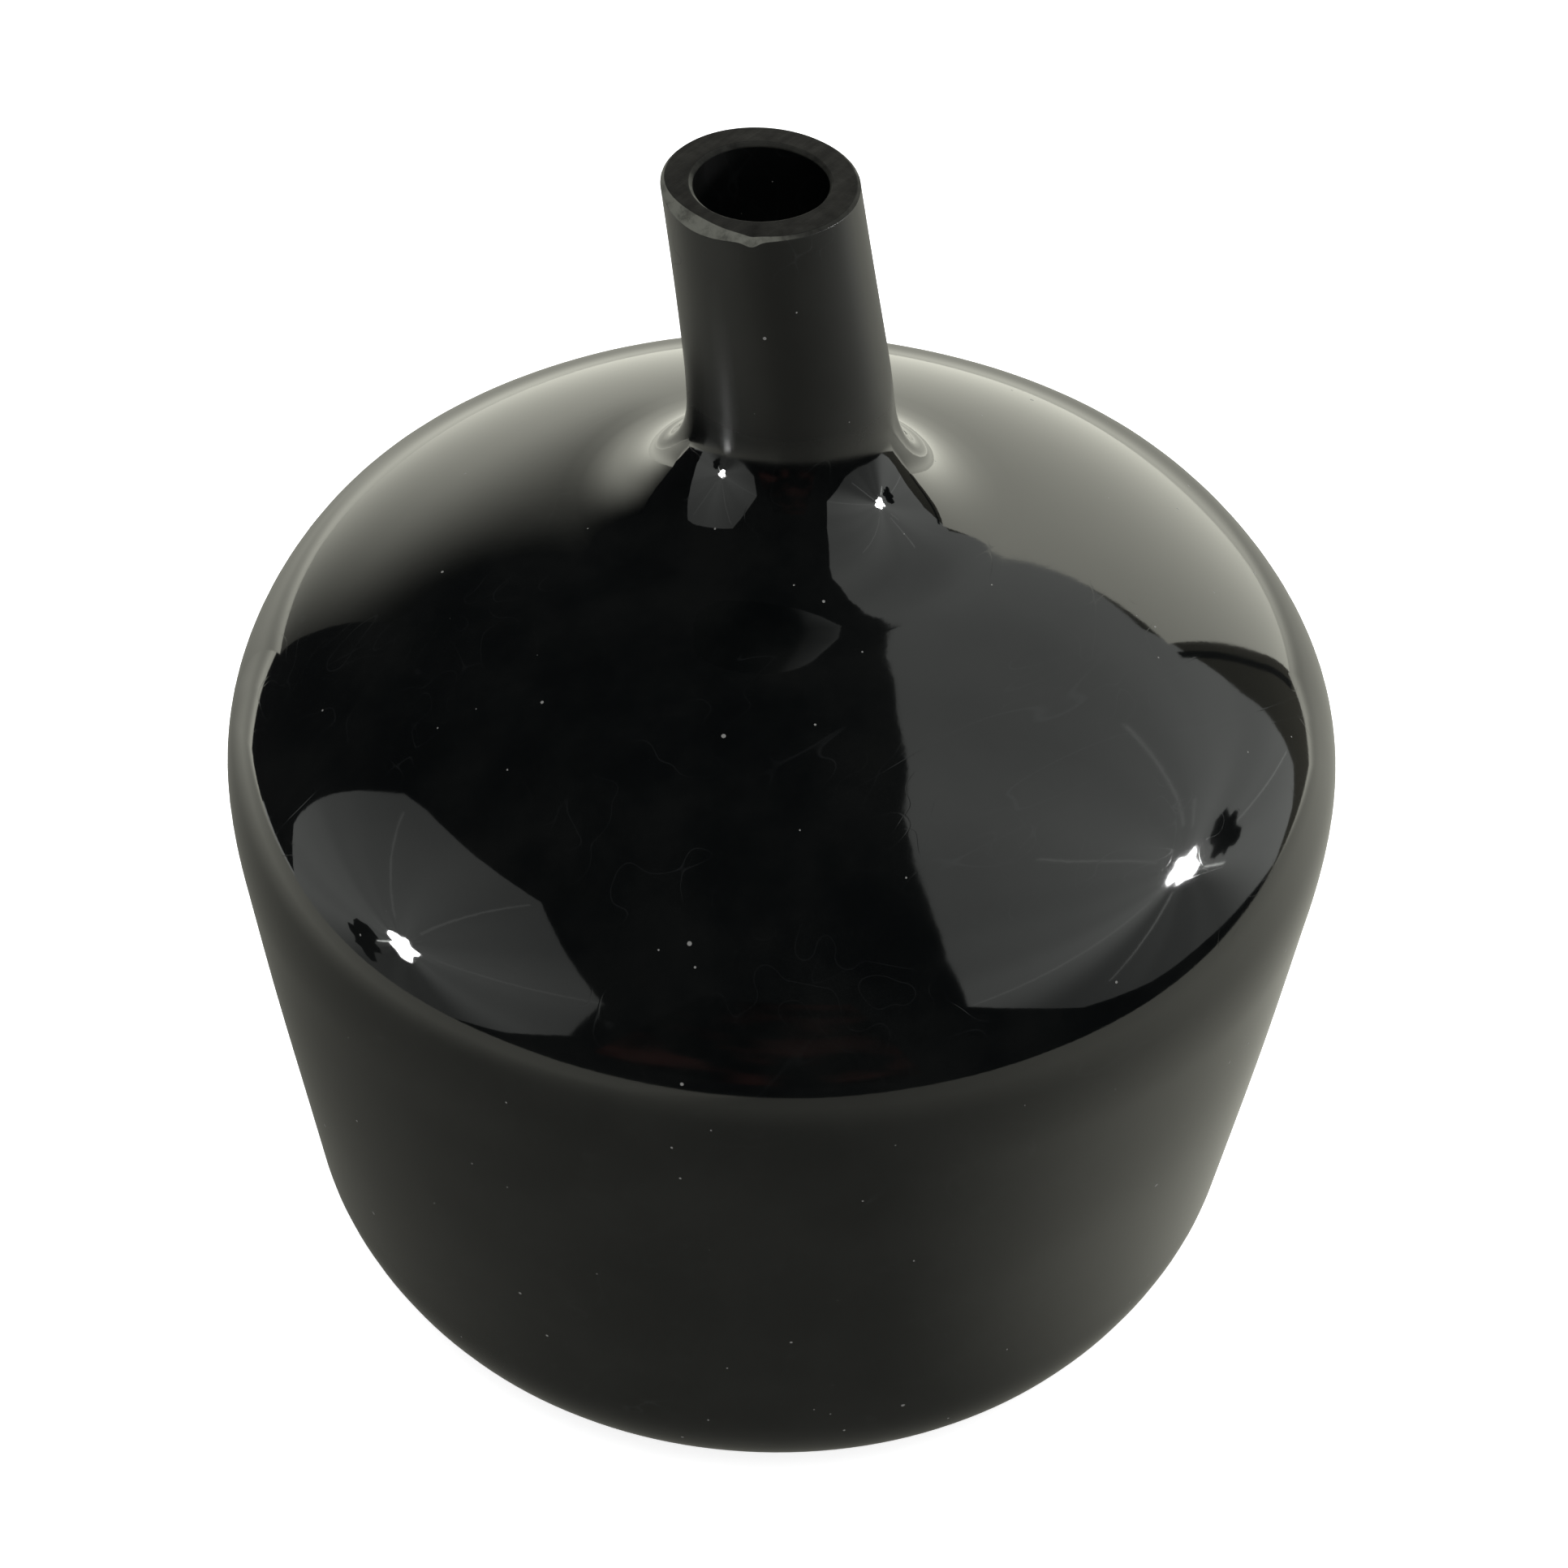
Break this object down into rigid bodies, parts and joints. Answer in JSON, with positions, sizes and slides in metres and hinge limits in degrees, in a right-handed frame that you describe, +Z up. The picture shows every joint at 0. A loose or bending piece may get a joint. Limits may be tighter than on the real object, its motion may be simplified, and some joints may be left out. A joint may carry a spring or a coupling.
{
  "type": "dust blower bulb",
  "caption": "Squat soft vinyl squeeze bulb with a flat base, tapered side, rounded wide edge, sloping shoulder and a short leaning nozzle that blows dust off watch parts.",
  "frame": {"origin": "middle of the flat base, on the axis of the round body", "axes": "+Z up along the body's axis towards the nozzle; the nozzle leans towards -X"},
  "size_m": [0.05, 0.05, 0.0566],
  "materials": {
    "vinyl": "smooth glossy black soft vinyl, with faint handling scratches"
  },
  "bodies": {
    "bulb_top": {"shoulder": "vinyl", "wide_edge": "vinyl", "side_wall": "vinyl", "nozzle_root": "vinyl"},
    "bulb_base": {"base_panel": "vinyl", "heel": "vinyl"},
    "nozzle_bend": {"nozzle_neck": "vinyl"},
    "nozzle": {"nozzle_tip": "vinyl"}
  },
  "joints": [
    {"name": "base_squeeze", "type": "slide", "parent": "bulb_top", "child": "bulb_base", "axis": [0, 0, 1], "range_m": [0, 0.01], "stiffness_N_per_m": 1500, "deforming": ["side_wall"]},
    {"name": "nozzle_sway", "type": "hinge", "parent": "bulb_top", "child": "nozzle_bend", "pos_m": [0, 0, 0.0445], "axis": [0, 1, 0], "range_deg": [-15, 15], "stiffness_Nm_per_rad": 0.12, "deforming": ["nozzle_root"]},
    {"name": "nozzle_nod", "type": "hinge", "parent": "nozzle_bend", "child": "nozzle", "pos_m": [-0.0003, 0, 0.0479], "axis": [1, 0, 0], "range_deg": [-15, 15], "stiffness_Nm_per_rad": 0.12, "deforming": ["nozzle_neck"]}
  ]
}
